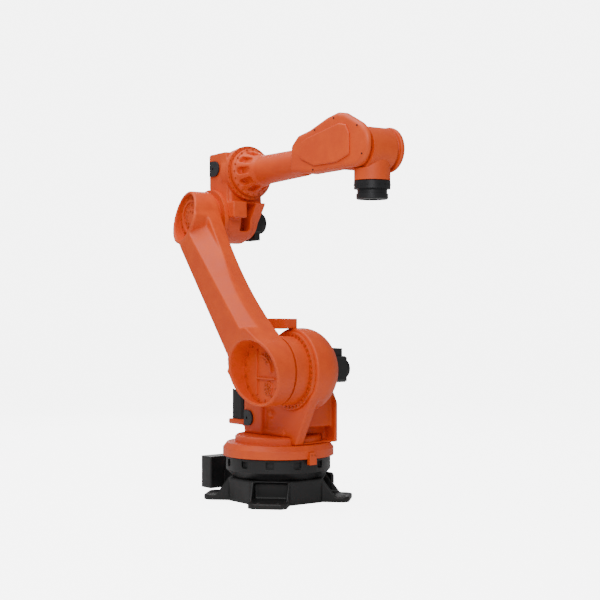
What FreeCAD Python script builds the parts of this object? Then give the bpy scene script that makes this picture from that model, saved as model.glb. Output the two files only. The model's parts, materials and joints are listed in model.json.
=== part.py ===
import FreeCAD
import Part
import math
import os
from FreeCAD import Vector, Rotation, Placement

# Six-axis industrial robot arm, millimetres, +Z up.
# The origin is on the floor, on the axis of the slewing base.  The arm reaches along +X, the
# link arm stands on the -Y side, and the tool flange points straight down at rest.
# "near" means the -Y side and "far" the +Y side.

X, Y, Z = Vector(1, 0, 0), Vector(0, 1, 0), Vector(0, 0, 1)
ORIGIN = Vector(0, 0, 0)

# ---- driving sizes: the axes -------------------------------------------------------------
shoulder_x = 280.0          # shoulder axis ahead of the slewing axis
shoulder_z = 886.0          # shoulder axis above the floor
link_length = 1332.0        # shoulder axis to elbow axis
link_lean = 38.8            # degrees that the link arm leans back from vertical at rest
elbow_rise = 308.0          # forearm axis above the elbow axis, square to the forearm
forearm_tilt = 2.0          # degrees that the forearm rises towards the wrist at rest
wrist_reach = 1555.0        # elbow axis to wrist axis, measured along the forearm
tool_drop = 313.0           # wrist axis down to the tool flange face

# ---- clearances --------------------------------------------------------------------------
running_gap = 5.0           # between faces that turn against each other
journal_gap = 0.3           # radial, shaft in its bearing bore
fit_gap = 0.5               # round a part let into a recess of the piece that carries it

elbow_x = shoulder_x - link_length * math.sin(math.radians(link_lean))
elbow_z = shoulder_z + link_length * math.cos(math.radians(link_lean))
SHOULDER = Vector(shoulder_x, 0, shoulder_z)
ELBOW = Vector(elbow_x, 0, elbow_z)
forearm_turn = Rotation(Y, -forearm_tilt)
forearm_root = ELBOW + forearm_turn.multVec(Z * elbow_rise)
WRIST = forearm_root + forearm_turn.multVec(X * wrist_reach)
# Local frames: the forearm's x runs along it; the link arm's x runs from shoulder to elbow
# and its z points to the arm's rear and underside.
forearm_frame = Placement(forearm_root, forearm_turn)
link_frame = Placement(SHOULDER, Rotation(Y, -90.0 - link_lean))


# ---- shape helpers -----------------------------------------------------------------------
def rod(radius, start, direction, length):
    return Part.makeCylinder(radius, length, start, direction)


def tube(outer, inner, start, direction, length):
    return rod(outer, start, direction, length).cut(rod(inner, start, direction, length))


def box(low, high):
    return Part.makeBox(high[0] - low[0], high[1] - low[1], high[2] - low[2], Vector(*low))


def flat_face(points):
    corners = [Vector(*p) for p in points]
    return Part.Face(Part.makePolygon(corners + corners[:1]))


def prism(points, direction):
    """Solid swept along direction from the closed outline through the points."""
    return flat_face(points).extrude(direction)


def side_prism(outline_xz, y_low, y_high):
    return prism([(x, y_low, z) for x, z in outline_xz], Y * (y_high - y_low))


def plan_prism(outline_xy, z_low, z_high):
    return prism([(x, y, z_low) for x, y in outline_xy], Z * (z_high - z_low))


def turned(profile_rz):
    """Solid of revolution about Z of a closed outline in radius and height."""
    return flat_face([(r, 0, z) for r, z in profile_rz]).revolve(ORIGIN, Z, 360)


def join(shapes):
    return shapes[0].multiFuse(shapes[1:]).removeSplitter()


def around(shape, count, centre, axis, first=0.0):
    """Copies of shape, evenly spaced about an axis."""
    copies = []
    for step in range(count):
        copy = shape.copy()
        copy.rotate(centre, axis, first + step * 360.0 / count)
        copies.append(copy)
    return copies


def placed(shape, frame):
    moved = shape.copy()
    moved.Placement = frame.multiply(moved.Placement)
    return moved


def edges_where(shape, test):
    return [edge for edge in shape.Edges if test(edge)]


def round_box(low, high, radius):
    """Block with its four edges along Y rounded."""
    block = box(low, high)
    upright = edges_where(block, lambda e: abs(e.Vertexes[0].Y - e.Vertexes[1].Y) > 1)
    return block.makeFillet(radius, upright)


def motor(frame, half, length, cap_radius, cap_length, plug):
    """Servo motor along local z from its mounting face: body, round cap and a cable plug."""
    body = box((-half, -half, 0), (half, half, length))
    corners = edges_where(body, lambda e: abs(e.Vertexes[0].Z - e.Vertexes[1].Z) > 1)
    body = body.makeChamfer(half * 0.22, corners)
    cap = rod(cap_radius, Z * length, Z, cap_length)
    cap = cap.makeFillet(min(cap_length, cap_radius) * 0.3, [cap.Edges[0]])
    plug_x, plug_y, plug_z = plug
    socket = box((half - 1, -plug_y / 2, length - plug_z - 12), (half + plug_x, plug_y / 2, length - 12))
    return placed(join([body, socket]), frame), placed(cap, frame)


def d_cover(x_back, z_middle, width, height, y_face, thick, hole_radius):
    """Cover plate with a straight back edge and a round front, on a -Y wall."""
    r = height / 2.0
    straight = width - r
    low, high = Vector(x_back, y_face, z_middle - r), Vector(x_back, y_face, z_middle + r)
    turn_low, turn_high = low + X * straight, high + X * straight
    nose = Vector(x_back + width, y_face, z_middle)
    outline = Part.Wire([Part.LineSegment(high, low).toShape(), Part.LineSegment(low, turn_low).toShape(),
                         Part.Arc(turn_low, nose, turn_high).toShape(),
                         Part.LineSegment(turn_high, high).toShape()])
    plate = Part.Face(outline).extrude(Y * -thick)
    return plate.cut(rod(hole_radius, Vector(x_back + width * 0.36, y_face, z_middle), Y * -1, thick))


nodes = {}

# ---- base: octagonal casting on four feet ------------------------------------------------
wall_reach = 323.0          # flat wall of the base, out from the slewing axis
wall_half = 122.0           # half the length of each flat wall
base_height = 160.0
foot_tip = 496.0            # slewing axis to the tip of a foot
foot_width = 258.0
foot_thick = 37.0
foot_corner = 34.0
foot_start = 200.0          # the foot plate starts here, inside the casting
pocket_depth = 34.0         # the wall behind a foot is set back by this
pocket_ceiling = 13.0       # metal left above the pocket
gusset_thick = 17.0
gusset_tip = 88.0           # the gusset stops this far before the foot's tip
gusset_top_reach = 318.0    # the gusset is full height out to here
anchor_radius = 13.0
anchor_row = 456.0          # anchor holes, out along the foot
anchor_spread = 130.0       # between the two anchor holes of one foot
side_plate_thick = 24.0     # upright plate on the far wall
side_plate_length = 172.0
side_plate_top = 168.0
diagonal_wall = (wall_reach + wall_half) / math.sqrt(2)

octagon = [(wall_reach, -wall_half), (wall_reach, wall_half), (wall_half, wall_reach),
           (-wall_half, wall_reach), (-wall_reach, wall_half), (-wall_reach, -wall_half),
           (-wall_half, -wall_reach), (wall_half, -wall_reach)]


def foot():
    half, c = foot_width / 2, foot_corner
    outline = [(foot_start, -half), (foot_tip - c, -half), (foot_tip, -half + c),
               (foot_tip, half - c), (foot_tip - c, half), (foot_start, half)]
    shape = plan_prism(outline, 0, foot_thick)
    slope = [(foot_start, 0), (foot_tip - gusset_tip, 0), (foot_tip - gusset_tip, foot_thick),
             (gusset_top_reach, base_height), (foot_start, base_height)]
    for y_low in (-half, half - gusset_thick):
        shape = shape.fuse(side_prism(slope, y_low, y_low + gusset_thick))
    for side in (-1, 1):
        hole = rod(anchor_radius, Vector(anchor_row, side * anchor_spread / 2, 0), Z, foot_thick)
        shape = shape.cut(hole)
    return shape


def foot_pocket():
    half = foot_width / 2 - gusset_thick
    return box((diagonal_wall - pocket_depth, -half, foot_thick),
               (diagonal_wall + 10, half, base_height - pocket_ceiling))


def base_casting():
    body = plan_prism(octagon, 0, base_height)
    for pocket in around(foot_pocket(), 4, ORIGIN, Z, 45):
        body = body.cut(pocket)
    return join([body] + around(foot(), 4, ORIGIN, Z, 45))


nodes["base_casting"] = base_casting()
nodes["base_side_plate"] = round_box((-side_plate_length, wall_reach, 40),
                                     (side_plate_length, wall_reach + side_plate_thick, side_plate_top),
                                     28).cut(nodes["base_casting"])

# ---- slewing ring housing ----------------------------------------------------------------
ring_radius = 354.0
ring_top = 300.0
ring_foot_radius = 306.0
ring_cone_top = 212.0
disc_bottom = ring_top + running_gap
slew_bore = 120.0           # bearing bore of the slewing axis
spigot_depth = 100.0
notch_count = 12            # cast pockets round the ring
notch_half = 27.0
notch_depth = 20.0
notch_low, notch_high = 238.0, 286.0
base_stop_half = 30.0       # fixed stop at the back of the ring
base_stop_reach = ring_radius + 44.0
base_stop_top = 292.0
base_stop_low = 205.0


def ring_notch():
    pocket = box((ring_radius - notch_depth, -notch_half, notch_low),
                 (ring_radius + 20, notch_half, notch_high))
    lower = edges_where(pocket, lambda e: abs(e.Vertexes[0].X - e.Vertexes[1].X) > 1
                        and e.Vertexes[0].Z < notch_low + 1)
    return pocket.makeFillet(notch_half * 0.55, lower)


def ring_housing():
    bore_floor = ring_top - spigot_depth - running_gap
    body = turned([(0, base_height), (ring_foot_radius, base_height), (ring_radius, ring_cone_top),
                   (ring_radius, ring_top), (slew_bore, ring_top), (slew_bore, bore_floor), (0, bore_floor)])
    for pocket in around(ring_notch(), notch_count, ORIGIN, Z, 15):
        body = body.cut(pocket)
    return body


nodes["ring_housing"] = ring_housing()
nodes["base_stop"] = box((-base_stop_reach, -base_stop_half, base_stop_low),
                         (-ring_radius + 14, base_stop_half, base_stop_top)).cut(
                             rod(ring_radius, Z * base_height, Z, ring_top - base_height))

# ---- connector box at the back of the base -----------------------------------------------
box_front, box_back = -511.0, -635.0
box_half = 215.0
box_low, box_high = 29.0, 250.0
neck_half = 98.0
neck_low, neck_high = 45.0, 150.0
panel_thick = 8.0
panel_margin = 22.0
socket_radius = 34.0
socket_reach = 26.0


def connector_box():
    body = box((box_back, -box_half, box_low), (box_front, box_half, box_high))
    body = body.makeFillet(12, edges_where(body, lambda e: abs(e.Vertexes[0].Z - e.Vertexes[1].Z) > 1))
    neck = box((box_front - 1, -neck_half, neck_low), (-wall_reach, neck_half, neck_high))
    return join([body, neck])


def connector_panel():
    m = panel_margin
    plate = box((box_back - panel_thick, -box_half + m, box_low + m), (box_back, box_half - m, box_high - m))
    middle = (box_low + box_high) / 2
    shapes = [plate]
    for y in (-box_half / 2, 0, box_half / 2):
        front = Vector(box_back - panel_thick, y, middle)
        shapes.append(tube(socket_radius, socket_radius * 0.72, front, X * -1,
                           socket_reach))
    return join(shapes)


nodes["connector_box"] = connector_box()
nodes["connector_panel"] = connector_panel()

# ---- turntable disc ----------------------------------------------------------------------
disc_radius = ring_radius + 22.0
disc_rim = 358.0
disc_shoulder_radius = disc_radius - 27.0
disc_top = 392.0
step_radius = 294.0
step_top = 441.0
step_chamfer = 12.0
stop_inner = ring_radius + running_gap + 1
stop_outer = disc_radius + 16.0
stop_bottom = 267.0
stop_half = 28.0


def turntable_disc():
    spigot = slew_bore - journal_gap
    return turned([(0, ring_top - spigot_depth), (spigot, ring_top - spigot_depth), (spigot, disc_bottom),
                   (disc_radius, disc_bottom), (disc_radius, disc_rim), (disc_shoulder_radius, disc_top),
                   (step_radius, disc_top), (step_radius, step_top - step_chamfer),
                   (step_radius - step_chamfer, step_top), (0, step_top)])


def slew_stop():
    hanging = box((stop_inner, -stop_half, stop_bottom), (stop_outer, stop_half, disc_bottom))
    hugging = box((disc_radius - 4, -stop_half, disc_bottom), (stop_outer, stop_half, disc_rim - 8))
    disc_space = rod(disc_radius, Z * disc_bottom, Z, disc_rim)
    return join([hanging, hugging]).cut(disc_space)


nodes["turntable_disc"] = turntable_disc()
nodes["slew_stop"] = slew_stop()

# ---- column casting with the shoulder drum -----------------------------------------------
column_back = -218.0
pad_y = -136.0              # near wall, back part
pad_front = -7.0
web_y = -102.0              # near wall, front part, set in from the pad
column_front = 328.0
column_far = 288.0
far_front = 288.0
front_web = 66.0            # thickness of the near wall where it ends in the front rib
far_web = 26.0
front_set_back = 36.0       # the wall between the front ribs, behind their edges
recess_depth = 150.0        # open recess under that wall
recess_ceiling = 496.0
sole_top = 406.0            # thin sole that joins the ribs on the disc
sole_corner = 34.0
far_post_slope = 660.0      # the far rib's front edge slopes back above this
far_post_top = 732.0        # the column's far part ends here, below motor 2
drum_radius = 279.0
drum_near, drum_far = -90.0, 150.0
drum_round_start = -10.0    # the drum's far side is domed from here
drum_far_radius = 186.0
back_top = 735.0
ledge_low, ledge_high = 490.0, 528.0
ledge_back = -392.0
ledge_half = 82.0
motor1_x, motor1_y = -313.0, -65.0
boss_x, boss_z, boss_radius = 66.0, 586.0, 26.0
flange_radius = 258.0       # shoulder gearbox: bolting flange, case and the arm's shaft
flange_near = -115.0
case_radius = 227.0
case_near = -218.0
shaft_radius = 110.0
shaft_length = 90.0         # depth of the shaft's bearing bore
arm_inner = case_near - running_gap


def drum():
    """Round drum about the shoulder axis, domed towards the far side."""
    depth, drop = drum_far - drum_round_start, drum_radius - drum_far_radius
    dome = Part.BSplineCurve()
    dome.interpolate([Vector(drum_radius - drop * part ** 2.2, drum_round_start + depth * part, 0)
                      for part in (0, 0.25, 0.5, 0.75, 1)])
    rim, far_rim = Vector(drum_radius, drum_round_start, 0), Vector(drum_far_radius, drum_far, 0)
    sides = Part.makePolygon([far_rim, Vector(0, drum_far, 0), Vector(0, drum_near, 0),
                              Vector(drum_radius, drum_near, 0), rim])
    body = Part.Face(Part.Wire(sides.Edges + [dome.toShape()])).revolve(ORIGIN, Y, 360)
    return placed(body, Placement(SHOULDER, Rotation()))


def column_post():
    front_x = shoulder_x + drum_radius * 0.82
    front_z = shoulder_z - drum_radius * 0.57
    side = [(column_back, step_top), (0, step_top), (0, disc_top), (column_front, disc_top),
            (front_x, front_z), (shoulder_x, shoulder_z),
            (shoulder_x - drum_radius * 0.5, shoulder_z + drum_radius * 0.84), (column_back, back_top)]
    plan = [(column_back, pad_y), (pad_front, pad_y), (pad_front, web_y), (front_x, web_y),
            (front_x, web_y + front_web), (far_front, column_far - 90), (far_front, column_far),
            (column_back, column_far)]
    post = plan_prism(plan, disc_top, shoulder_z + drum_radius)
    post = post.common(side_prism(side, pad_y - 1, column_far + 1))
    far_top = [(column_back - 1, back_top - 170), (shoulder_x - 110, far_post_top),
               (far_front - 44, far_post_top), (far_front, far_post_slope), (front_x + 60, far_post_slope),
               (front_x + 60, shoulder_z + drum_radius), (column_back - 1, shoulder_z + drum_radius)]
    step_space = rod(step_radius + fit_gap, Z * disc_top, Z, step_top - disc_top)
    return post.cut(side_prism(far_top, drum_far - 20, column_far + 1)).cut(step_space)


def column_casting():
    y_low, y_high = web_y + front_web, column_far - far_web
    wall_front = far_front - front_set_back
    bay = box((wall_front, y_low, disc_top), (shoulder_x + drum_radius, y_high, far_post_top))
    recess = box((column_front - recess_depth, y_low, disc_top),
                 (shoulder_x + drum_radius, y_high, recess_ceiling))
    ledge = box((ledge_back, motor1_y - ledge_half, ledge_low),
                (column_back + 1, motor1_y + ledge_half, ledge_high))
    boss = rod(boss_radius, Vector(boss_x, web_y - 16, boss_z), Y, 17)
    shoe = box((pad_front, web_y - 14, step_top), (far_front - 80, web_y + 1, step_top + 38))
    flange_seat = rod(flange_radius + fit_gap, Vector(shoulder_x, pad_y, shoulder_z), Y, drum_near - pad_y)
    sole = plan_prism([(0, web_y), (column_front, web_y), (column_front, y_low), (far_front, y_high - 60),
                       (far_front, column_far - sole_corner), (far_front - sole_corner, column_far),
                       (0, column_far)], disc_top, sole_top)
    sole = sole.cut(rod(step_radius + fit_gap, Z * disc_top, Z, 50))
    return join([column_post().cut(bay).cut(recess), drum(), ledge, boss, shoe, sole]).cut(flange_seat)


def lifting_lug():
    lug_low = shoulder_z + drum_radius
    body = box((75, -150, lug_low - 6), (290, -58, lug_low + 62))
    saddle = rod(30, Vector(182, -151, lug_low + 84), Y, 100)
    drum_space = rod(drum_radius, Vector(shoulder_x, -200, shoulder_z), Y, 300)
    return body.cut(saddle).cut(drum_space)


nodes["column_casting"] = column_casting()
nodes["lifting_lug"] = lifting_lug()
nodes["column_cover"] = d_cover(column_back + 18, 546, 97, 104, pad_y, 12, 9)

# ---- motors of axes 1 and 2 --------------------------------------------------------------
motor1_half, motor1_length, motor1_cap = 64.0, 200.0, 46.0
motor2_half, motor2_length, motor2_cap = 88.0, 152.0, 54.0

nodes["axis1_motor"], nodes["axis1_motor_cap"] = motor(
    Placement(Vector(motor1_x, motor1_y, ledge_high), Rotation(Z, 180)), motor1_half, motor1_length,
    motor1_half * 0.86, motor1_cap, (34, 60, 62))
nodes["axis2_motor"], nodes["axis2_motor_cap"] = motor(
    Placement(Vector(shoulder_x, drum_far, shoulder_z), Rotation(X, -90).multiply(Rotation(Z, -90))),
    motor2_half, motor2_length, motor2_half * 0.76, motor2_cap, (52, 104, 134))

# ---- shoulder gearbox --------------------------------------------------------------------

nodes["shoulder_flange"] = rod(flange_radius, Vector(shoulder_x, flange_near, shoulder_z), Y,
                               drum_near - flange_near)
nodes["shoulder_gearbox"] = rod(case_radius, Vector(shoulder_x, case_near, shoulder_z), Y,
                                flange_near - case_near).cut(
    rod(shaft_radius, Vector(shoulder_x, case_near, shoulder_z), Y, shaft_length))

# ---- link arm ----------------------------------------------------------------------------
hub_face = -411.0           # outer face of both hubs, on their axes
beam_face = -470.0          # outer face of the beam
low_radius, high_radius = 227.0, 184.0
low_slant, high_slant = 15.0, 17.0      # degrees, outer faces of the hubs fall away to the arm's ends
low_recess, high_recess = 205.0, 163.0
hub_floor = -322.0          # floor of both hub recesses
hub_plate_thick = 12.0
rib_height = 14.0
rear_waist, front_waist = 140.0, 113.0  # beam's edges at its middle, from the arm's axis
widest, front_widest = -340.0, 136.0        # the front edge leans out as far as this
facet_start, facet_end = 150.0, 1330.0      # long facet on the front edge
facet_taper = 0.085         # the facet comes nearer to the arm's axis towards the elbow
facet_low_radius = 288.0    # the facet's ends are round the shoulder and elbow axes
facet_high_radius = 200.0
elbow_shaft_radius, elbow_shaft_length = 85.0, 44.0
elbow_case_near = arm_inner + running_gap


def link_outline(y, front_reach):
    """Outline in the arm's own XZ plane: two hub circles joined by waisted edges."""
    low, high = low_radius, high_radius
    start, end = math.radians(61), math.radians(116)
    low_rear = Vector(low * math.cos(start), y, low * math.sin(start))
    low_front = Vector(low * math.cos(start), y, -low * math.sin(start))
    high_rear = Vector(link_length + high * math.cos(end), y, high * math.sin(end))
    high_front = Vector(link_length + high * math.cos(end), y, -high * math.sin(end))
    middle = link_length * 0.58
    edges = [Part.Arc(low_rear, Vector(-low, y, 0), low_front).toShape(),
             Part.Arc(low_front, Vector(middle, y, -front_reach), high_front).toShape(),
             Part.Arc(high_front, Vector(link_length + high, y, 0), high_rear).toShape(),
             Part.Arc(high_rear, Vector(middle, y, rear_waist), low_rear).toShape()]
    return Part.Wire(edges)


def link_envelope():
    """Block between the inner face and the bowed outer faces."""
    reach = 400.0
    low_slope, high_slope = math.tan(math.radians(low_slant)), math.tan(math.radians(high_slant))
    bow = hub_face - beam_face
    outline = [(-reach, hub_face + reach * low_slope), (bow / low_slope, beam_face),
               (link_length - bow / high_slope, beam_face),
               (link_length + reach, hub_face + reach * high_slope),
               (link_length + reach, arm_inner), (-reach, arm_inner)]
    return prism([(x, y, -reach) for x, y in outline], Z * (2 * reach))


def link_facet():
    """Long wedge off the beam's front outer edge, ending round both hubs."""
    def section(x):
        spread = (950 - x) * facet_taper
        return Part.makePolygon([Vector(x, y, -z - spread) for y, z in (
            (beam_face - 60, 37), (hub_face + 71, 127), (hub_face + 71, 400), (beam_face - 60, 400),
            (beam_face - 60, 37))])
    wedge = Part.makeLoft([section(facet_start), section(facet_end)], True, True)
    for x, radius in ((0, facet_low_radius), (link_length, facet_high_radius)):
        wedge = wedge.cut(rod(radius, Vector(x, -700, 0), Y, 700))
    return wedge


def link_rear_chamfer():
    """Small wedge off the beam's rear outer edge."""
    section = [(beam_face - 40, rear_waist - 88), (beam_face - 40, 400), (beam_face + 64, 400),
               (beam_face + 64, rear_waist + 16)]
    wedge = prism([(facet_start, y, z) for y, z in section], X * (facet_end - facet_start))
    for x, radius in ((0, low_radius), (link_length, high_radius)):
        wedge = wedge.cut(rod(radius, Vector(x, -700, 0), Y, 700))
    return wedge


def link_arm():
    widest_outline = link_outline(widest, front_widest)
    inner = Part.makeLoft([link_outline(arm_inner, front_waist), widest_outline], True, True)
    outer = Part.Face(widest_outline).extrude(Y * -200)
    body = inner.fuse(outer).removeSplitter()
    body = body.common(link_envelope()).cut(link_facet()).cut(link_rear_chamfer())
    for x, radius in ((0, low_recess), (link_length, high_recess)):
        body = body.cut(rod(radius, Vector(x, hub_floor, 0), Y * -1, 300))
    low_shaft = rod(shaft_radius - journal_gap, Y * (arm_inner - 1), Y, shaft_length)
    high_shaft = rod(elbow_shaft_radius - journal_gap, Vector(link_length, arm_inner - 1, 0), Y,
                     elbow_shaft_length)
    return placed(join([body, low_shaft, high_shaft]), link_frame)


def lower_hub_plate():
    """Cover plate in the shoulder recess, with a cross of ribs, a curved rib and two bolt pads."""
    face = hub_floor - hub_plate_thick
    disc = rod(low_recess - fit_gap, Y * hub_floor, Y * -1, hub_plate_thick)
    upright = box((-56, face - rib_height, -150), (-44, face + 1, 140))
    level = box((-50, face - rib_height, -48), (150, face + 1, -36))
    curved = tube(112, 100, Y * (face - rib_height), Y, rib_height + 1).common(
        box((0, face - rib_height, 0), (120, face + 1, 120)))
    pads = [rod(46, Vector(72, face - 6, z), Y, 7) for z in (92, -104)]
    return placed(join([disc, upright, level, curved] + pads), Placement(SHOULDER, Rotation()))


def upper_hub_plate():
    """Stepped round cover in the elbow recess."""
    face = hub_floor - hub_plate_thick
    disc = rod(high_recess - fit_gap, Y * hub_floor, Y * -1, hub_plate_thick)
    ring = tube(128, 112, Y * (face - 10), Y, 11)
    boss = rod(62, Y * (face - 18), Y, 19)
    return placed(join([disc, ring, boss]), Placement(ELBOW, Rotation()))


nodes["link_arm"] = link_arm()
nodes["lower_hub_plate"] = lower_hub_plate()
nodes["upper_hub_plate"] = upper_hub_plate()

# ---- elbow -------------------------------------------------------------------------------
elbow_near = -165.0
elbow_far = 128.0
elbow_case_radius = 158.0
collar_radius = 200.0
collar_near = -196.0
barrel_radius = 174.0
barrel_far = 62.0
step_barrel_radius = 146.0  # the barrel's far step, which carries motor 3
elbow_back = -38.0          # back wall, along the forearm from the elbow axis
head_radius = 180.0
head_back, head_front = 118.0, 199.0
head_top = 146.0
slot_low, slot_high = -400.0, -212.0    # dark slot down the front, from the forearm axis
slot_near, slot_far = -40.0, 36.0
pad_reach = 262.0           # pad beside the slot

case_start = Vector(0, elbow_case_near, -elbow_rise)
nodes["elbow_gearbox"] = placed(tube(elbow_case_radius, elbow_shaft_radius, case_start, Y,
                                     collar_near - elbow_case_near), forearm_frame)
elbow_collar = rod(collar_radius, Vector(0, collar_near, -elbow_rise), Y, elbow_near - collar_near)
nodes["elbow_flange"] = placed(elbow_collar.cut(
    rod(elbow_shaft_radius, case_start, Y, elbow_shaft_length)), forearm_frame)


def elbow_housing():
    e = -elbow_rise
    barrel = rod(barrel_radius, Vector(0, elbow_near, e), Y, barrel_far - elbow_near)
    step = rod(step_barrel_radius, Vector(0, barrel_far - 1, e), Y, elbow_far - barrel_far + 1)
    step = step.makeFillet(18, edges_where(step, lambda edge: edge.BoundBox.YMin > elbow_far - 0.1))
    head = rod(head_radius, X * head_back, X, head_front - head_back)
    back = round_box((elbow_back, elbow_near, e + 60), (head_front - 20, elbow_far, head_top), 18)
    web = side_prism([(elbow_back, e + 60), (-20, e - barrel_radius + 40), (55, e - 136), (128, -368),
                      (196, -283), (249, -210), (head_front - 4, -206), (head_front - 20, 0), (elbow_back, 0)],
                     elbow_near + 25, elbow_far)
    web = web.makeChamfer(14, edges_where(web, lambda edge: edge.BoundBox.YMin > elbow_far - 0.1))
    slot = box((60, slot_near, slot_low), (head_front + 60, slot_far, slot_high))
    pad = box((60, elbow_near, -318), (pad_reach, slot_near - 12, -206))
    return placed(join([barrel, step, head, back, web, pad]).cut(slot), forearm_frame)


nodes["elbow_housing"] = elbow_housing()
bearing_ring_radius = 188.0
bearing_bore = 90.0
forearm_start = head_front + 32.0
nodes["forearm_bearing_ring"] = placed(tube(bearing_ring_radius, bearing_bore, X * head_front, X,
                                            forearm_start - head_front - running_gap), forearm_frame)
motor3_half, motor3_length, motor3_cap = 76.0, 66.0, 46.0
motor3_frame = Placement(Vector(16, elbow_far, -elbow_rise - 24), Rotation(X, -90).multiply(Rotation(Z, 90)))
nodes["axis3_motor"], nodes["axis3_motor_cap"] = motor(
    forearm_frame.multiply(motor3_frame), motor3_half, motor3_length, motor3_half * 0.98, motor3_cap,
    (50, 124, 46))
motor4_frame = Placement(Vector(elbow_back, 40, 20), Rotation(Y, -90))
nodes["axis4_motor"], nodes["axis4_motor_cap"] = motor(
    forearm_frame.multiply(motor4_frame), 56.0, 120.0, 46.0, 40.0, (28, 50, 50))
cover_middle = forearm_frame.multVec(Vector(elbow_back, 0, 20))
nodes["elbow_cover"] = d_cover(cover_middle.x + 20, cover_middle.z + 22, 112, 106, elbow_near, 12, 9)

# ---- forearm -----------------------------------------------------------------------------
root_radius = 166.0
root_thick = 34.0
tube_radius, tube_end_radius = 104.0, 92.0
tube_end = wrist_reach - 675.0
cone_radius = 152.0
cone_length = 150.0
window_count = 10
window_width, window_length = 46.0, 104.0
stub_length = 27.0         # bearing stub, into the ring on the elbow head


def round_window(start):
    pocket = box((start, -window_width / 2, tube_radius),
                 (start + window_length, window_width / 2, cone_radius + 20))
    return pocket.makeFillet(18, edges_where(pocket, lambda e: abs(e.Vertexes[0].Z - e.Vertexes[1].Z) > 1))


def forearm_tube():
    flange = rod(root_radius, X * forearm_start, X, root_thick)
    barrel = Part.makeCone(tube_radius, tube_end_radius, tube_end - forearm_start, X * forearm_start, X)
    start = forearm_start + root_thick
    cone = Part.makeCone(cone_radius, tube_radius - 2, cone_length, X * start, X)
    window = round_window(start + 10)
    stub = rod(bearing_bore - journal_gap, X * (forearm_start - stub_length), X, stub_length + 1)
    for cut in around(window, window_count, ORIGIN, X, 18):
        cone = cone.cut(cut)
    return placed(join([flange, barrel, stub, cone]), forearm_frame)


nodes["forearm_tube"] = forearm_tube()
nodes["hose_lug"] = placed(box((tube_end - 70, -20, tube_end_radius - 12), (tube_end - 12, 20, tube_end_radius + 28)),
                           forearm_frame).cut(nodes["forearm_tube"])

# ---- wrist housing: fork with a belt case on the near side -------------------------------
near_face, near_inner = -156.0, -100.0
far_face, far_inner = 156.0, 100.0
near_cheek, far_cheek = 142.0, 143.0
ball_radius = 136.0
throat = wrist_reach - ball_radius - 40       # the fork's gap starts here
wrist_pin_radius, wrist_pin_length = 70.0, 25.0
case_edge = 30.0
cheek_rise = 24.0           # the near cheek's round end is above the wrist axis
case_inner, far_case_inner = -119.0, 119.0      # inside these, only the narrow arms reach the ball
arm_half = 74.0             # half the height of the narrow arms
arm_end_radius = 116.0
cover_thick = 12.0


def tangent_point(point, centre, radius, side):
    """Where a line from the point touches the circle; side picks which of the two."""
    dx, dz = point[0] - centre[0], point[1] - centre[1]
    angle = math.atan2(dz, dx) + side * math.acos(radius / math.hypot(dx, dz))
    return centre[0] + radius * math.cos(angle), centre[1] + radius * math.sin(angle)


def cheek_prism(points, radius, rise, y_low, y_high):
    """Prism whose outline runs from the last point round the wrist's end to the first."""
    middle = (wrist_reach, rise)
    start = tangent_point(points[-1], middle, radius, 1)
    end = tangent_point(points[0], middle, radius, -1)
    corners = [Vector(x, y_low, z) for x, z in [end] + points + [start]]
    nose = Part.Arc(corners[-1], Vector(wrist_reach + radius, y_low, rise), corners[0]).toShape()
    return Part.Face(Part.Wire([Part.makePolygon(corners), nose])).extrude(Y * (y_high - y_low))


def belt_case():
    """High near half of the housing, rounded along its outer edges."""
    w = wrist_reach
    outline = [(w - 75, 226), (w - 155, 242), (w - 265, 224), (w - 445, 170), (w - 570, 150), (w - 643, 92),
               (w - 660, -88), (w - 445, -112), (w - 155, -114)]
    shape = cheek_prism(outline, near_cheek, cheek_rise, near_face, case_inner)
    rim = edges_where(shape, lambda e: e.BoundBox.YMax < near_face + 0.1)
    return shape.makeFillet(case_edge, rim)


def fork_body():
    w = wrist_reach
    outline = [(tube_end, -80), (w - 325, -82), (throat - 60, -106), (throat, -40), (throat, 196),
               (w - 265, 206), (w - 445, 156), (w - 625, 106), (tube_end, 86)]
    shape = side_prism(outline, case_inner - 1, far_face - 26)
    rim = edges_where(shape, lambda e: e.BoundBox.YMin > far_face - 26.1)
    return shape.makeChamfer(40, rim)


def narrow_arm(y_low, y_high):
    """Arm from the fork's body out to the wrist axis."""
    bar = side_prism([(throat - 30, -arm_half), (wrist_reach, -arm_half), (wrist_reach, arm_half),
                      (throat - 30, arm_half)], y_low, y_high)
    return bar.fuse(rod(arm_end_radius, Vector(wrist_reach, y_low, 0), Y, y_high - y_low))


def far_arm():
    shape = cheek_prism([(throat - 120, 150), (throat - 120, -112)], far_cheek, 0, far_case_inner, far_face)
    rim = edges_where(shape, lambda e: e.BoundBox.YMin > far_face - 0.1)
    return shape.makeFillet(22, rim)


def wrist_housing():
    arms = [narrow_arm(case_inner - 1, near_inner), narrow_arm(far_inner, far_case_inner + 1)]
    shape = join([fork_body(), belt_case(), far_arm()] + arms)
    pin_space = rod(wrist_pin_radius, Vector(wrist_reach, near_inner - wrist_pin_length, 0), Y,
                    far_inner - near_inner + 2 * wrist_pin_length)
    return placed(shape.cut(pin_space), forearm_frame)


def side_cover():
    w = wrist_reach
    outline = [(w - 545, 20), (w - 511, 96), (w - 458, 115), (w - 122, 166), (w - 57, 150), (w - 26, 94),
               (w - 30, -40), (w - 155, -74), (w - 386, -70), (w - 519, -12)]
    plate = side_prism(outline, near_face - cover_thick, near_face)
    corners = edges_where(plate, lambda e: abs(e.Vertexes[0].Y - e.Vertexes[-1].Y) > 1)
    plate = plate.makeFillet(18, corners)
    rim = edges_where(plate, lambda e: e.BoundBox.YMax < near_face - cover_thick + 0.1)
    return placed(plate.makeFillet(cover_thick * 0.7, rim), forearm_frame)


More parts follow.
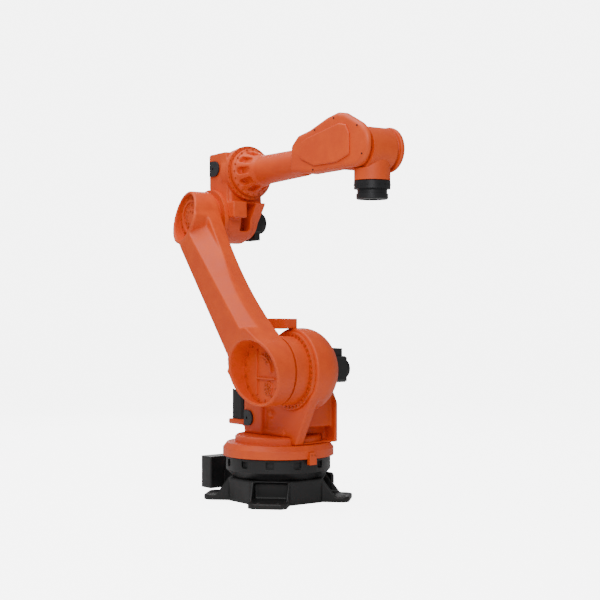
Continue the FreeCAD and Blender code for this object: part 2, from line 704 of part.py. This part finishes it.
nodes["wrist_housing"] = wrist_housing()
nodes["belt_cover"] = side_cover()
nodes["wrist_cap"] = placed(rod(far_cheek - 34, Vector(wrist_reach, far_face, 0), Y, 8), forearm_frame)

# ---- wrist -------------------------------------------------------------------------------
neck_radius = 113.0
neck_bottom = 196.0         # below the wrist axis
neck_top = 122.0            # the neck is full width below this
collar_flange_radius = 114.0
collar_depth = 48.0
nose_radius = 98.0
spindle_radius, spindle_length = 60.0, 25.0
tool_radius = 100.0
tool_rim = 34.0
pilot_radius = 50.0
pilot_depth = 8.0
tool_bolt_circle = 160.0
tool_bolt_radius = 5.1
tool_bolt_depth = 16.0
tool_bolt_count = 6


def wrist_body():
    near, far = near_inner + running_gap, far_inner - running_gap
    ball = rod(ball_radius, Vector(WRIST.x, near, WRIST.z), Y, far - near)
    slab = box((WRIST.x - 200, near, WRIST.z - neck_bottom), (WRIST.x + 200, far, WRIST.z))
    upper = rod(neck_radius, Vector(WRIST.x, 0, WRIST.z - neck_bottom), Z, neck_bottom).common(slab)
    lower = rod(neck_radius, Vector(WRIST.x, 0, WRIST.z - neck_bottom), Z, neck_bottom - neck_top)
    pin_near = near_inner - wrist_pin_length + running_gap
    pin_far = far_inner + wrist_pin_length - running_gap
    pin = rod(wrist_pin_radius - journal_gap, Vector(WRIST.x, pin_near, WRIST.z), Y, pin_far - pin_near)
    socket = rod(spindle_radius, Vector(WRIST.x, 0, WRIST.z - neck_bottom), Z, spindle_length)
    return join([ball, upper, lower, pin]).cut(socket)


def tool_flange():
    face = WRIST.z - tool_drop
    top = WRIST.z - neck_bottom - running_gap
    centre = Vector(WRIST.x, 0, 0)
    collar = rod(collar_flange_radius, centre + Z * (top - collar_depth), Z, collar_depth)
    nose = rod(nose_radius - 4, centre + Z * (face + tool_rim), Z, top - collar_depth - face - tool_rim + 1)
    plate = rod(tool_radius, centre + Z * face, Z, tool_rim)
    plate = plate.makeChamfer(6, edges_where(plate, lambda e: abs(e.BoundBox.ZMax - face) < 0.1))
    spindle = rod(spindle_radius - journal_gap, centre + Z * (top - 1), Z, spindle_length + 1)
    body = join([collar, nose, plate, spindle])
    body = body.cut(rod(pilot_radius, centre + Z * face, Z, pilot_depth))
    hole = rod(tool_bolt_radius, centre + Z * face + X * (tool_bolt_circle / 2), Z, tool_bolt_depth)
    for cut in around(hole, tool_bolt_count, centre, Z, 30):
        body = body.cut(cut)
    return body


nodes["wrist_body"] = wrist_body()
nodes["tool_flange"] = tool_flange()

os.makedirs("parts", exist_ok=True)
for name, shape in nodes.items():
    shape.exportStep("parts/" + name + ".step")
    print(name, len(shape.Solids), round(shape.Volume / 1e9, 5), shape.isValid())
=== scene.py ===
"""Looks for a six-axis industrial robot arm: paint, castings, screws, covers and studio."""

import json
import math

import bmesh
import bpy
from mathutils import Euler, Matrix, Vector


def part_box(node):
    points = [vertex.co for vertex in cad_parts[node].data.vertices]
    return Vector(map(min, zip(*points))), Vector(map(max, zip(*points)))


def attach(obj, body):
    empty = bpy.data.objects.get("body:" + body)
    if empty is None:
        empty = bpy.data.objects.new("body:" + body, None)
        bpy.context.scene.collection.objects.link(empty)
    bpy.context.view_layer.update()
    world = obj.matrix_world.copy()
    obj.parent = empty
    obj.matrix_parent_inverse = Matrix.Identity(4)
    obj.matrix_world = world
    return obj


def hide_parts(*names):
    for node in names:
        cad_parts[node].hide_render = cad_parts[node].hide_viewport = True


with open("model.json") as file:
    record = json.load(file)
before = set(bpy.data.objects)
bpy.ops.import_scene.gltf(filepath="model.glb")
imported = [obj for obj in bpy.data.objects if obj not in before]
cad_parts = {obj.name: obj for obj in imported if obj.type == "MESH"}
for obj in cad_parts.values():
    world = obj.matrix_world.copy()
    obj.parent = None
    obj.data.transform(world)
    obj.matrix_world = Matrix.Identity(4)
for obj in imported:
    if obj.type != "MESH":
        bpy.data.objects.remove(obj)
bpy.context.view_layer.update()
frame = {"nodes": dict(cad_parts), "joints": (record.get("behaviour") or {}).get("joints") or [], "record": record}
nodes = frame["nodes"]
axis = {joint["name"]: Vector(joint["pos_m"]) for joint in frame["joints"]}
shoulder, elbow = axis["axis_2_shoulder"], axis["axis_3_elbow"]
forearm_start, wrist = axis["axis_4_forearm_roll"], axis["axis_5_wrist_bend"]
tool_face = axis["axis_6_tool_spin"]
forearm_along = (wrist - forearm_start).normalized()
forearm_up = Vector((-forearm_along.z, 0, forearm_along.x))
FORWARD, BACK = Vector((1, 0, 0)), Vector((-1, 0, 0))
NEAR, FAR = Vector((0, -1, 0)), Vector((0, 1, 0))
UP = Vector((0, 0, 1))
MM = 0.001


# ---- colour and material helpers ---------------------------------------------------------

def paint(hex_code):
    """sRGB hex to linear RGBA."""
    channels = [int(hex_code[i:i + 2], 16) / 255 for i in (1, 3, 5)]
    linear = [c / 12.92 if c <= 0.04045 else ((c + 0.055) / 1.055) ** 2.4 for c in channels]
    return (*linear, 1.0)


def add(tree, kind, settings=None, **links):
    """Adds a node. settings fill attributes or sockets; links join sockets to other nodes' outputs."""
    node = tree.nodes.new(kind)
    for name, value in (settings or {}).items():
        if isinstance(name, int) or name in node.inputs:
            node.inputs[name].default_value = value
        else:
            setattr(node, name, value)
    for name, source in links.items():
        key = int(name[1:]) if name[0] == "i" and name[1:].isdigit() else name.replace("_", " ")
        tree.links.new(source, node.inputs[key])
    return node


def start_material(name):
    material = bpy.data.materials.new(name)
    material.use_nodes = True
    tree = material.node_tree
    tree.nodes.clear()
    out = tree.nodes.new("ShaderNodeOutputMaterial")
    skin = tree.nodes.new("ShaderNodeBsdfPrincipled")
    tree.links.new(skin.outputs["BSDF"], out.inputs["Surface"])
    place = tree.nodes.new("ShaderNodeTexCoord").outputs["Object"]
    return material, tree, skin, place


def cast_paint(name, colour, shade, worn, roughness, coat, grain_mm, grain_depth, edge_mm, wear):
    """Paint over a sand casting: cloudy colour, paint thinned on the edges, painted shade in corners, cast grain.
    """
    material, tree, skin, place = start_material(name)
    cloud = add(tree, "ShaderNodeTexNoise", {"Scale": 3.2, "Detail": 4.0, "Roughness": 0.55}, Vector=place)
    blotch = add(tree, "ShaderNodeTexNoise", {"Scale": 14.0, "Detail": 6.0, "Roughness": 0.65}, Vector=place)
    mixed = add(tree, "ShaderNodeMath", {"operation": "MULTIPLY"}, i0=cloud.outputs["Fac"],
                i1=blotch.outputs["Fac"])
    tone = add(tree, "ShaderNodeMapRange", {"From Min": 0.16, "From Max": 0.36, "To Min": 0.0, "To Max": 1.0},
               Value=mixed.outputs["Value"])
    body = add(tree, "ShaderNodeMix", {"data_type": "RGBA", 6: paint(shade), 7: paint(colour)},
               Factor=tone.outputs["Result"])
    # paint is thinner where it ran off a corner
    round_edge = add(tree, "ShaderNodeBevel", {"samples": 6, "Radius": edge_mm * MM})
    flat = add(tree, "ShaderNodeNewGeometry")
    turn = add(tree, "ShaderNodeVectorMath", {"operation": "DOT_PRODUCT"}, i0=round_edge.outputs["Normal"],
               i1=flat.outputs["Normal"])
    rim = add(tree, "ShaderNodeMapRange", {"From Min": 0.985, "From Max": 0.80, "To Min": 0.0, "To Max": 1.0},
              Value=turn.outputs["Value"])
    chip = add(tree, "ShaderNodeTexNoise", {"Scale": 60.0, "Detail": 8.0, "Roughness": 0.7}, Vector=place)
    chip_mask = add(tree, "ShaderNodeMapRange", {"From Min": 0.52, "From Max": 0.62, "To Min": 0.0,
                                                 "To Max": wear}, Value=chip.outputs["Fac"])
    worn_edge = add(tree, "ShaderNodeMath", {"operation": "MULTIPLY"}, i0=rim.outputs["Result"],
                    i1=chip_mask.outputs["Result"])
    rubbed = add(tree, "ShaderNodeMix", {"data_type": "RGBA", 7: paint(worn)},
                 Factor=worn_edge.outputs["Value"], i6=body.outputs[2])
    # painted shade: the colour is darkened towards the shade colour in corners and hollows, where shadow falls
    corner = add(tree, "ShaderNodeAmbientOcclusion", {"samples": 6, "Distance": 0.22})
    painted_shade_mask = add(tree, "ShaderNodeMapRange", {"From Min": 0.25, "From Max": 0.95, "To Min": 0.75,
                                                   "To Max": 0.0}, Value=corner.outputs["AO"])
    painted_shade_colour = add(tree, "ShaderNodeMix", {"data_type": "RGBA", 7: paint(shade)},
                Factor=painted_shade_mask.outputs["Result"], i6=rubbed.outputs[2])
    tree.links.new(painted_shade_colour.outputs[2], skin.inputs["Base Color"])
    gloss = add(tree, "ShaderNodeMapRange", {"From Min": 0.3, "From Max": 0.7, "To Min": roughness - 0.06,
                                             "To Max": roughness + 0.08}, Value=blotch.outputs["Fac"])
    tree.links.new(gloss.outputs["Result"], skin.inputs["Roughness"])
    skin.inputs["IOR"].default_value = 1.5
    skin.inputs["Coat Weight"].default_value = coat
    skin.inputs["Coat Roughness"].default_value = 0.28
    # cast grain under the paint, and the paint's own orange peel
    grain = add(tree, "ShaderNodeTexNoise", {"Scale": 1000.0 / grain_mm / 2, "Detail": 3.0, "Roughness": 0.5},
                Vector=place)
    swell = add(tree, "ShaderNodeTexNoise", {"Scale": 24.0, "Detail": 2.0}, Vector=place)
    low_bump = add(tree, "ShaderNodeBump", {"Strength": 0.35, "Distance": 1.2 * MM},
                   Height=swell.outputs["Fac"], Normal=round_edge.outputs["Normal"])
    fine_bump = add(tree, "ShaderNodeBump", {"Strength": 0.5, "Distance": grain_depth * MM},
                    Height=grain.outputs["Fac"], Normal=low_bump.outputs["Normal"])
    tree.links.new(fine_bump.outputs["Normal"], skin.inputs["Normal"])
    return material


def plain_finish(name, colour, shade, roughness, metallic=0.0, ior=1.5, grain_mm=1.5, grain_depth=0.1,
                 edge_mm=2.0):
    """Moulded, coated or machined surface: slight tone change, fine grain, softened edges."""
    material, tree, skin, place = start_material(name)
    blotch = add(tree, "ShaderNodeTexNoise", {"Scale": 18.0, "Detail": 5.0, "Roughness": 0.6}, Vector=place)
    body = add(tree, "ShaderNodeMix", {"data_type": "RGBA", 6: paint(shade), 7: paint(colour)},
               Factor=blotch.outputs["Fac"])
    tree.links.new(body.outputs[2], skin.inputs["Base Color"])
    gloss = add(tree, "ShaderNodeMapRange", {"From Min": 0.3, "From Max": 0.7, "To Min": roughness - 0.07,
                                             "To Max": roughness + 0.07}, Value=blotch.outputs["Fac"])
    tree.links.new(gloss.outputs["Result"], skin.inputs["Roughness"])
    skin.inputs["Metallic"].default_value = metallic
    skin.inputs["IOR"].default_value = ior
    round_edge = add(tree, "ShaderNodeBevel", {"samples": 6, "Radius": edge_mm * MM})
    grain = add(tree, "ShaderNodeTexNoise", {"Scale": 1000.0 / grain_mm / 2, "Detail": 2.0}, Vector=place)
    bump = add(tree, "ShaderNodeBump", {"Strength": 0.5, "Distance": grain_depth * MM},
               Height=grain.outputs["Fac"], Normal=round_edge.outputs["Normal"])
    tree.links.new(bump.outputs["Normal"], skin.inputs["Normal"])
    return material


# Two-pack orange paint, sprayed over iron castings: satin, slightly cloudy, with soft edges.
orange_paint = cast_paint("orange_two_pack_paint", "#E25002", "#D64604", "#E67838", roughness=0.54, coat=0.04,
                          grain_mm=4.0, grain_depth=0.16, edge_mm=7.0, wear=0.25)
# Black enamel brushed on the iron base: satin, rougher grain, greyed on its edges.
black_enamel = cast_paint("black_enamel_on_iron", "#151516", "#0E0E0F", "#3C3B39", roughness=0.50, coat=0.0,
                          grain_mm=5.0, grain_depth=0.35, edge_mm=7.0, wear=0.7)
# Black powder coat on aluminium motor housings: even and matte.
motor_coat = plain_finish("black_powder_coat", "#121213", "#0C0C0D", 0.52, grain_mm=1.6, grain_depth=0.12,
                          edge_mm=4.0)
# Moulded ABS covers: dark grey with a slight bloom.
abs_cover = plain_finish("dark_grey_abs", "#23262A", "#1C1F22", 0.46, ior=1.53, grain_mm=1.2,
                         grain_depth=0.06, edge_mm=3.0)
# Phosphated steel of the tool flange: nearly black, with a dull metal sheen.
phosphated_steel = plain_finish("phosphated_steel", "#3A3A3C", "#2A2A2C", 0.42, metallic=0.7, grain_mm=1.5,
                                grain_depth=0.05, edge_mm=2.0)
# Black oxide cap screws: dark metal with a thin oily shine.
black_screw = plain_finish("black_oxide_screws", "#4A4A4A", "#303030", 0.36, metallic=0.9, edge_mm=0.8,
                           grain_depth=0.03)
# Screws painted over with the casting: the same orange, a little darker as painted shade of the recesses they sit
# in.
painted_screw = plain_finish("screws_under_orange_paint", "#CC4C10", "#B03E0C", 0.50, edge_mm=0.8,
                             grain_depth=0.04)

finish_of_slot = {"orange_paint": orange_paint, "black_castings": black_enamel, "motor_black": motor_coat,
                  "dark_covers": abs_cover}
slot_of_node = {s["node"]: s["material_slot"] for s in frame["record"]["subparts"]}
for name, node in nodes.items():
    finish = phosphated_steel if name == "tool_flange" else finish_of_slot[slot_of_node[name]]
    node.data.materials.clear()
    node.data.materials.append(finish)


# ---- castings with the soft edges and blended corners of a sand mould ------------------------

def soften_casting(node_name, body, grid_mm, passes, finish):
    """Stands a softened copy in place of a CAD casting, a little inside its box."""
    source = nodes[node_name]
    mesh = source.data.copy()
    piece = bpy.data.objects.new(node_name + "_cast", mesh)
    bpy.context.scene.collection.objects.link(piece)
    welded = bmesh.new()
    welded.from_mesh(mesh)
    bmesh.ops.remove_doubles(welded, verts=welded.verts, dist=0.00002)
    welded.to_mesh(mesh)
    welded.free()
    remesh = piece.modifiers.new("grid", "REMESH")
    remesh.mode = "VOXEL"
    remesh.voxel_size = grid_mm * MM
    smooth = piece.modifiers.new("rounding", "SMOOTH")
    smooth.factor = 0.5
    smooth.iterations = passes
    thin = piece.modifiers.new("thin", "DECIMATE")
    thin.ratio = 0.5
    evaluated = piece.evaluated_get(bpy.context.evaluated_depsgraph_get())
    result = bpy.data.meshes.new_from_object(evaluated)
    piece.modifiers.clear()
    piece.data = result
    result.materials.clear()
    result.materials.append(finish)
    for face in result.polygons:
        face.use_smooth = True
    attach(piece, body)
    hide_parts(node_name)
    return piece


body_of_node = {n: b for b, members in frame["record"]["behaviour"]["bodies"].items() for n in members}
for casting, grid, passes in (("link_arm", 6.0, 14), ("column_casting", 6.5, 12), ("elbow_housing", 5.0, 12),
                              ("wrist_housing", 5.0, 12), ("base_casting", 6.0, 8), ("forearm_tube", 5.0, 8)):
    finish = finish_of_slot[slot_of_node[casting]]
    soften_casting(casting, body_of_node[casting], grid, passes, finish)


# ---- screws: one Geometry Nodes tree makes every ring, arc and row ---------------------------

def screw_tree():
    """Cap screws with washers, spaced round an arc, standing up or pointing outwards."""
    tree = bpy.data.node_groups.new("screw_circle", "GeometryNodeTree")
    ask = tree.interface.new_socket
    for label, kind in (("Count", "NodeSocketInt"), ("Circle Radius", "NodeSocketFloat"),
                        ("First Angle", "NodeSocketFloat"), ("Step Angle", "NodeSocketFloat"),
                        ("Tilt", "NodeSocketFloat"), ("Head Radius", "NodeSocketFloat"),
                        ("Head Height", "NodeSocketFloat"), ("Socket Radius", "NodeSocketFloat"),
                        ("Sides", "NodeSocketInt"), ("Washer Radius", "NodeSocketFloat"),
                        ("Centre", "NodeSocketVector"), ("Turn", "NodeSocketVector"),
                        ("Finish", "NodeSocketMaterial")):
        ask(label, in_out="INPUT", socket_type=kind)
    ask("Screws", in_out="OUTPUT", socket_type="NodeSocketGeometry")
    given = tree.nodes.new("NodeGroupInput").outputs
    line = add(tree, "GeometryNodeMeshLine", Count=given["Count"])
    number = add(tree, "GeometryNodeInputIndex")
    swept = add(tree, "ShaderNodeMath", {"operation": "MULTIPLY"}, i0=number.outputs[0],
                i1=given["Step Angle"])
    angle = add(tree, "ShaderNodeMath", {"operation": "ADD"}, i0=swept.outputs[0], i1=given["First Angle"])
    right = add(tree, "ShaderNodeMath", {"operation": "COSINE"}, i0=angle.outputs[0])
    up = add(tree, "ShaderNodeMath", {"operation": "SINE"}, i0=angle.outputs[0])
    ray = add(tree, "ShaderNodeCombineXYZ", X=right.outputs[0], Y=up.outputs[0])
    spot = add(tree, "ShaderNodeVectorMath", {"operation": "SCALE"}, i0=ray.outputs[0],
               Scale=given["Circle Radius"])
    points = add(tree, "GeometryNodeSetPosition", Geometry=line.outputs["Mesh"], Position=spot.outputs[0])
    shank_height = add(tree, "ShaderNodeMath", {"operation": "MULTIPLY", 1: 0.78}, i0=given["Head Height"])
    head = add(tree, "GeometryNodeMeshCylinder", Vertices=given["Sides"], Radius=given["Head Radius"],
               Depth=given["Head Height"])
    socket = add(tree, "GeometryNodeMeshCylinder", {"Vertices": 6}, Radius=given["Socket Radius"],
                 Depth=given["Head Height"])
    lift = add(tree, "ShaderNodeCombineXYZ", Z=shank_height.outputs[0])
    raised = add(tree, "GeometryNodeTransform", Geometry=socket.outputs["Mesh"], Translation=lift.outputs[0])
    hollow = add(tree, "GeometryNodeMeshBoolean", {"operation": "DIFFERENCE"}, i0=head.outputs["Mesh"],
                 i1=raised.outputs["Geometry"])
    washer_height = add(tree, "ShaderNodeMath", {"operation": "MULTIPLY", 1: 0.3}, i0=given["Head Height"])
    washer = add(tree, "GeometryNodeMeshCylinder", {"Vertices": 24}, Radius=given["Washer Radius"],
                 Depth=washer_height.outputs[0])
    washer_drop = add(tree, "ShaderNodeMath", {"operation": "MULTIPLY", 1: -0.36}, i0=given["Head Height"])
    drop = add(tree, "ShaderNodeCombineXYZ", Z=washer_drop.outputs[0])
    seated = add(tree, "GeometryNodeTransform", Geometry=washer.outputs["Mesh"], Translation=drop.outputs[0])
    screw = add(tree, "GeometryNodeJoinGeometry")
    tree.links.new(seated.outputs["Geometry"], screw.inputs[0])
    tree.links.new(hollow.outputs["Mesh"], screw.inputs[0])
    facing = add(tree, "ShaderNodeCombineXYZ", Y=given["Tilt"], Z=angle.outputs[0])
    placed = add(tree, "GeometryNodeInstanceOnPoints", Points=points.outputs["Geometry"],
                 Instance=screw.outputs["Geometry"], Rotation=facing.outputs[0])
    moved = add(tree, "GeometryNodeTransform", Geometry=placed.outputs["Instances"],
                Translation=given["Centre"], Rotation=given["Turn"])
    solid = add(tree, "GeometryNodeRealizeInstances", Geometry=moved.outputs["Geometry"])
    finished = add(tree, "GeometryNodeSetMaterial", Geometry=solid.outputs["Geometry"],
                   Material=given["Finish"])
    out = tree.nodes.new("NodeGroupOutput")
    tree.links.new(finished.outputs["Geometry"], out.inputs["Screws"])
    return tree


screw_circle = screw_tree()
sockets = {item.name: item.identifier for item in screw_circle.interface.items_tree if item.in_out == "INPUT"}
made_screws = {}


def screws(body, finish, centre, facing, count=1, circle=0.0, first=0.0, tilt=0.0, head=6.0, height=None):
    """Adds a circle of screws to a body. centre in metres, everything else in millimetres and degrees."""
    height = height or head * 0.9
    values = {"Count": count, "Circle Radius": circle * MM, "First Angle": math.radians(first),
              "Step Angle": math.radians(360.0 / count), "Tilt": math.radians(tilt), "Head Radius": head * MM,
              "Head Height": height * MM, "Socket Radius": head * 0.55 * MM, "Sides": 20,
              "Washer Radius": head * 1.28 * MM, "Centre": Vector(centre),
              "Turn": Vector(facing.to_track_quat("Z", "X").to_euler()), "Finish": finish}
    carrier = bpy.data.objects.new("screw_carrier", bpy.data.meshes.new("screw_carrier"))
    bpy.context.scene.collection.objects.link(carrier)
    modifier = carrier.modifiers.new("screws", "NODES")
    modifier.node_group = screw_circle
    for label, value in values.items():
        modifier[sockets[label]] = value
    ready = carrier.evaluated_get(bpy.context.evaluated_depsgraph_get())
    made_screws.setdefault((body, finish.name), []).append(bpy.data.meshes.new_from_object(ready))
    bpy.data.objects.remove(carrier)


def join_screws():
    """One plain mesh of screws for each body and finish."""
    for (body, finish_name), meshes in made_screws.items():
        shape = bmesh.new()
        for mesh in meshes:
            shape.from_mesh(mesh)
        joined = bpy.data.meshes.new(f"{body}_{finish_name}")
        shape.to_mesh(joined)
        shape.free()
        joined.materials.append(bpy.data.materials[finish_name])
        for face in joined.polygons:
            face.material_index = 0
        piece = bpy.data.objects.new(joined.name, joined)
        bpy.context.scene.collection.objects.link(piece)
        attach(piece, body)


def on_forearm(along, sideways, up):
    """Point given along, sideways and above the forearm's axis, in millimetres from its start."""
    return forearm_start + (forearm_along * along + FAR * sideways + forearm_up * up) * MM


def at(x, y, z):
    return Vector((x, y, z)) * MM


# Screw heads stand this far out of the face that they sit on.
proud = 3.0
slim_proud = 1.5

# bolting flange of the shoulder gearbox, and the plates in the arm's hubs
flange_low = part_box("shoulder_flange")[0]
screws("turntable", painted_screw, (shoulder.x, flange_low.y - proud * MM, shoulder.z), NEAR, 40, 243, head=8.5)
plate_face, pad_face, boss_face = -334.0, -340.0, -352.0


def hub_point(hub, face, x=0.0, z=0.0):
    """Point on a hub plate: face in millimetres across the arm, x and z in millimetres from the hub."""
    return Vector((hub.x + x * MM, face * MM, hub.z + z * MM))


for pad_height in (92, -104):
    pad = hub_point(shoulder, pad_face - proud, 72, pad_height)
    for count, circle, first, head in ((7, 32, 0, 7.5), (1, 0, 0, 7.5), (4, 14, 20, 5.0)):
        screws("link", painted_screw, pad, NEAR, count, circle, first=first, head=head)
plate = hub_point(shoulder, plate_face - proud)
screws("link", painted_screw, plate, NEAR, 16, 186, first=11, head=7.0)
screws("link", painted_screw, hub_point(elbow, plate_face - proud), NEAR, 16, 144, head=6.5)
screws("link", painted_screw, hub_point(elbow, boss_face - 2), NEAR, 10, 46)
screws("link", painted_screw, hub_point(elbow, plate_face - 2), NEAR, 14, 90, first=8)

# forearm root flange, and the bearing ring that it turns in
root_face, bearing_face = 231 + 34, 199 + 28
screws("forearm", painted_screw, on_forearm(root_face + proud, 0, 0), forearm_along, 20, 158)
screws("elbow", painted_screw, on_forearm(bearing_face, 0, 0), forearm_along, 28, 180, head=4.5)

# wrist: belt case, far cheek, and the black collar above the tool flange
near_face, far_cap_face, wrist_along = -156, 164, 1555
for along, up in ((1150, -92), (1375, 206), (1180, 158), (1600, 130), (1640, -48)):
    screws("forearm", black_screw, on_forearm(along, near_face - slim_proud, up), NEAR, head=4.6)
screws("forearm", painted_screw, on_forearm(wrist_along, far_cap_face + slim_proud, 0), FAR, 10, 92)
collar = (wrist.x, 0, wrist.z - 0.224)
rim = (tool_face.x, 0, tool_face.z + 0.017)
screws("flange", black_screw, collar, UP, 18, 114, tilt=90, first=5, head=5.4, height=4.0)
screws("flange", black_screw, rim, UP, 12, 100, tilt=90, head=2.6, height=2.0)

# motors: screws at the corners of the end bells
screws("turntable", black_screw, at(-313, -65, 728 + proud), UP, 4, 76, first=45)
screws("turntable", black_screw, at(280, 302 + proud, 886), FAR, 4, 104, first=45, head=7.5)
motor_three = on_forearm(16, 128 + 66 + proud, -308 - 24)
screws("elbow", black_screw, motor_three, FAR, 4, 92, first=45, head=6.5)
screws("elbow", black_screw, on_forearm(-38 - 120 - 2, 40, 20), -forearm_along, 4, 66, first=45, head=5.0)

# base: bolts under the slewing ring, and the connector panel at the back
screws("base", black_screw, at(0, 0, 212), UP, 12, 330, head=9.0, height=7.0)
panel_x = -645
screws("base", black_screw, at(panel_x, 0, 139.5), BACK, 2, 168, first=90, head=5.0)
for y in (-178, -60, 60, 178):
    for z in (62, 217):
        screws("base", black_screw, at(panel_x, y, z), BACK, head=4.5)
screws("turntable", painted_screw, at(392 + 2, 0, 330), FORWARD, 2, 14, first=90, head=5.5)
join_screws()


# ---- studio ------------------------------------------------------------------------------

SKY_FILL = 0.38                     # light that the sky throws on the arm
SKY_GLOW, FLOOR_GLOW = 6.0, 5.6     # brightness seen behind the arm and below it


def studio():
    floor_mesh = bpy.data.meshes.new("studio_floor")
    half = 60.0
    floor_mesh.from_pydata([(-half, -half, 0), (half, -half, 0), (half, half, 0), (-half, half, 0)], [],
                           [(0, 1, 2, 3)])
    floor = bpy.data.objects.new("studio_floor", floor_mesh)
    bpy.context.scene.collection.objects.link(floor)
    pale, tree, skin, _ = start_material("pale_floor")
    skin.inputs["Base Color"].default_value = paint("#F4F4F4")
    skin.inputs["Roughness"].default_value = 0.9
    # seen directly, the floor glows like a lit studio sweep; it lights the arm only as a pale floor
    seen = add(tree, "ShaderNodeLightPath")
    glow = add(tree, "ShaderNodeMath", {"operation": "MULTIPLY", 1: FLOOR_GLOW},
               i0=seen.outputs["Is Camera Ray"])
    skin.inputs["Emission Color"].default_value = (1, 1, 1, 1)
    tree.links.new(glow.outputs[0], skin.inputs["Emission Strength"])
    floor_mesh.materials.append(pale)
    world = bpy.data.worlds.new("studio")
    bpy.context.scene.world = world
    world.use_nodes = True
    tree = world.node_tree
    seen = add(tree, "ShaderNodeLightPath")
    strength = add(tree, "ShaderNodeMapRange", {"To Min": SKY_FILL, "To Max": SKY_GLOW},
                   Value=seen.outputs["Is Camera Ray"])
    tree.links.new(strength.outputs[0], tree.nodes["Background"].inputs["Strength"])
    tree.nodes["Background"].inputs["Color"].default_value = (1, 1, 1, 1)
    for name, place, power, size, target in (
            ("key", (5.5, -4.5, 5.5), 320, 2.5, (0, 0, 1.2)),
            ("top", (-0.5, -1.5, 6.0), 200, 4.0, (0, 0, 1.0)),
            ("rim", (-5.5, 2.5, 3.5), 120, 3.0, (0, 0, 1.3))):
        lamp = bpy.data.lights.new(name, "AREA")
        lamp.energy, lamp.size = power, size
        light = bpy.data.objects.new(name, lamp)
        light.location = place
        light.rotation_euler = (Vector(target) - Vector(place)).to_track_quat("-Z", "Y").to_euler()
        bpy.context.scene.collection.objects.link(light)


def camera():
    turn, distance, sideways, height = math.radians(53.0), 8.962, 0.1476, 1.350
    lens = bpy.data.cameras.new("camera")
    lens.sensor_width, lens.lens = 36.0, 79.1
    view = bpy.data.objects.new("camera", lens)
    view.location = (math.cos(turn) * sideways + math.sin(turn) * distance,
                     math.sin(turn) * sideways - math.cos(turn) * distance, height)
    view.rotation_euler = Euler((math.pi / 2, 0, turn))
    bpy.context.scene.collection.objects.link(view)
    bpy.context.scene.camera = view


studio()
camera()
